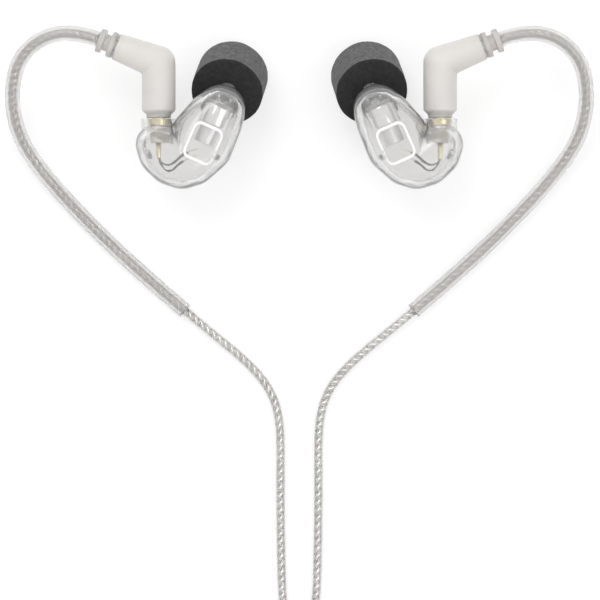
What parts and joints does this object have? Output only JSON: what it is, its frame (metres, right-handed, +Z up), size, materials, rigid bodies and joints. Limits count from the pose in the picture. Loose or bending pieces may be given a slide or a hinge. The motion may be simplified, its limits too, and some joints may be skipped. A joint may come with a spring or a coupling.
{
  "type": "in ear monitors",
  "caption": "Clear in ear monitors with foam ear tips, coaxial plugs, formed ear hooks, a twin ear cable with cinch slider and splitter, and a stored main cable with a headphone plug.",
  "frame": {"origin": "on the table under the middle of the two earpieces and their plugs", "axes": "+X from the left earpiece to the right one, +Y away from the cables along the plugs, +Z up out of the face plates"},
  "size_m": [0.1024, 0.1982, 0.0193],
  "materials": {
    "clear_shell": "clear moulded polycarbonate",
    "frosted_boot": "frosted translucent moulded plastic",
    "clear_rubber": "translucent soft plastic",
    "clear_tube": "clear soft vinyl tube",
    "cable": "clear jacket over twisted silvered conductors",
    "foam": "charcoal slow recovery foam",
    "core_rubber": "satin",
    "driver_metal": "bright drawn metal",
    "dark_metal": "satin",
    "steel": "satin",
    "gold": "pale gold plating",
    "cream": "satin",
    "wire": "satin enamel",
    "tie": "woven hook and loop strap",
    "black_ring": "satin"
  },
  "bodies": {
    "cable": {"left_plug_barrel": "gold", "left_plug_insulator": "cream", "left_plug_pin": "gold", "left_elbow_boot": "frosted_boot", "left_strain_relief": "clear_rubber", "left_ear_hook_tube": "clear_tube", "left_ear_cable": "cable", "left_cable_tail": "cable", "right_plug_barrel": "gold", "right_plug_insulator": "cream", "right_plug_pin": "gold", "right_elbow_boot": "frosted_boot", "right_strain_relief": "clear_rubber", "right_ear_hook_tube": "clear_tube", "right_ear_cable": "cable", "right_cable_tail": "cable", "main_cable_lead": "cable", "main_cable_tail": "cable", "ear_cable_coil": "cable", "main_cable_coil": "cable", "ear_coil_tie": "tie", "main_coil_tie": "tie", "splitter_lower": "frosted_boot", "splitter_upper": "frosted_boot", "splitter_relief": "clear_rubber", "jack_strain_relief": "clear_rubber", "jack_handle": "frosted_boot", "jack_sleeve": "gold", "jack_ring": "gold", "jack_insulators": "black_ring", "jack_tip": "gold"},
    "left_ring": {"left_snap_ring": "steel"},
    "left_earpiece": {"left_face_shell": "clear_shell", "left_ear_shell": "clear_shell", "left_nozzle_mesh": "steel", "left_socket_body": "gold", "left_socket_insulator": "cream", "left_socket_contact": "gold", "left_driver_can": "driver_metal", "left_driver_cup": "dark_metal", "left_driver_gasket": "clear_shell", "left_driver_wires": "wire"},
    "left_tip": {"left_foam_tip": "foam", "left_tip_core": "core_rubber"},
    "right_ring": {"right_snap_ring": "steel"},
    "right_earpiece": {"right_face_shell": "clear_shell", "right_ear_shell": "clear_shell", "right_nozzle_mesh": "steel", "right_socket_body": "gold", "right_socket_insulator": "cream", "right_socket_contact": "gold", "right_driver_can": "driver_metal", "right_driver_cup": "dark_metal", "right_driver_gasket": "clear_shell", "right_driver_wires": "wire"},
    "right_tip": {"right_foam_tip": "foam", "right_tip_core": "core_rubber"},
    "slider": {"cinch_slider": "frosted_boot"}
  },
  "joints": [
    {"name": "left_swivel", "type": "hinge", "parent": "cable", "child": "left_ring", "pos_m": [-0.02431, -0.0032, 0.012], "axis": [0, 1, 0], "range_deg": [-150, 105]},
    {"name": "left_unplug", "type": "slide", "parent": "left_ring", "child": "left_earpiece", "axis": [0, -1, 0], "range_m": [0, 0.006]},
    {"name": "left_tip_off", "type": "slide", "parent": "left_earpiece", "child": "left_tip", "axis": [0.127, 0.4615, -0.878], "range_m": [0, 0.006]},
    {"name": "right_swivel", "type": "hinge", "parent": "cable", "child": "right_ring", "pos_m": [0.02431, -0.0032, 0.012], "axis": [0, 1, 0], "range_deg": [-105, 150]},
    {"name": "right_unplug", "type": "slide", "parent": "right_ring", "child": "right_earpiece", "axis": [0, -1, 0], "range_m": [0, 0.006]},
    {"name": "right_tip_off", "type": "slide", "parent": "right_earpiece", "child": "right_tip", "axis": [-0.127, 0.4615, -0.878], "range_m": [0, 0.006]},
    {"name": "cinch", "type": "slide", "parent": "cable", "child": "slider", "axis": [0, 1, 0], "range_m": [0, 0.011]}
  ]
}
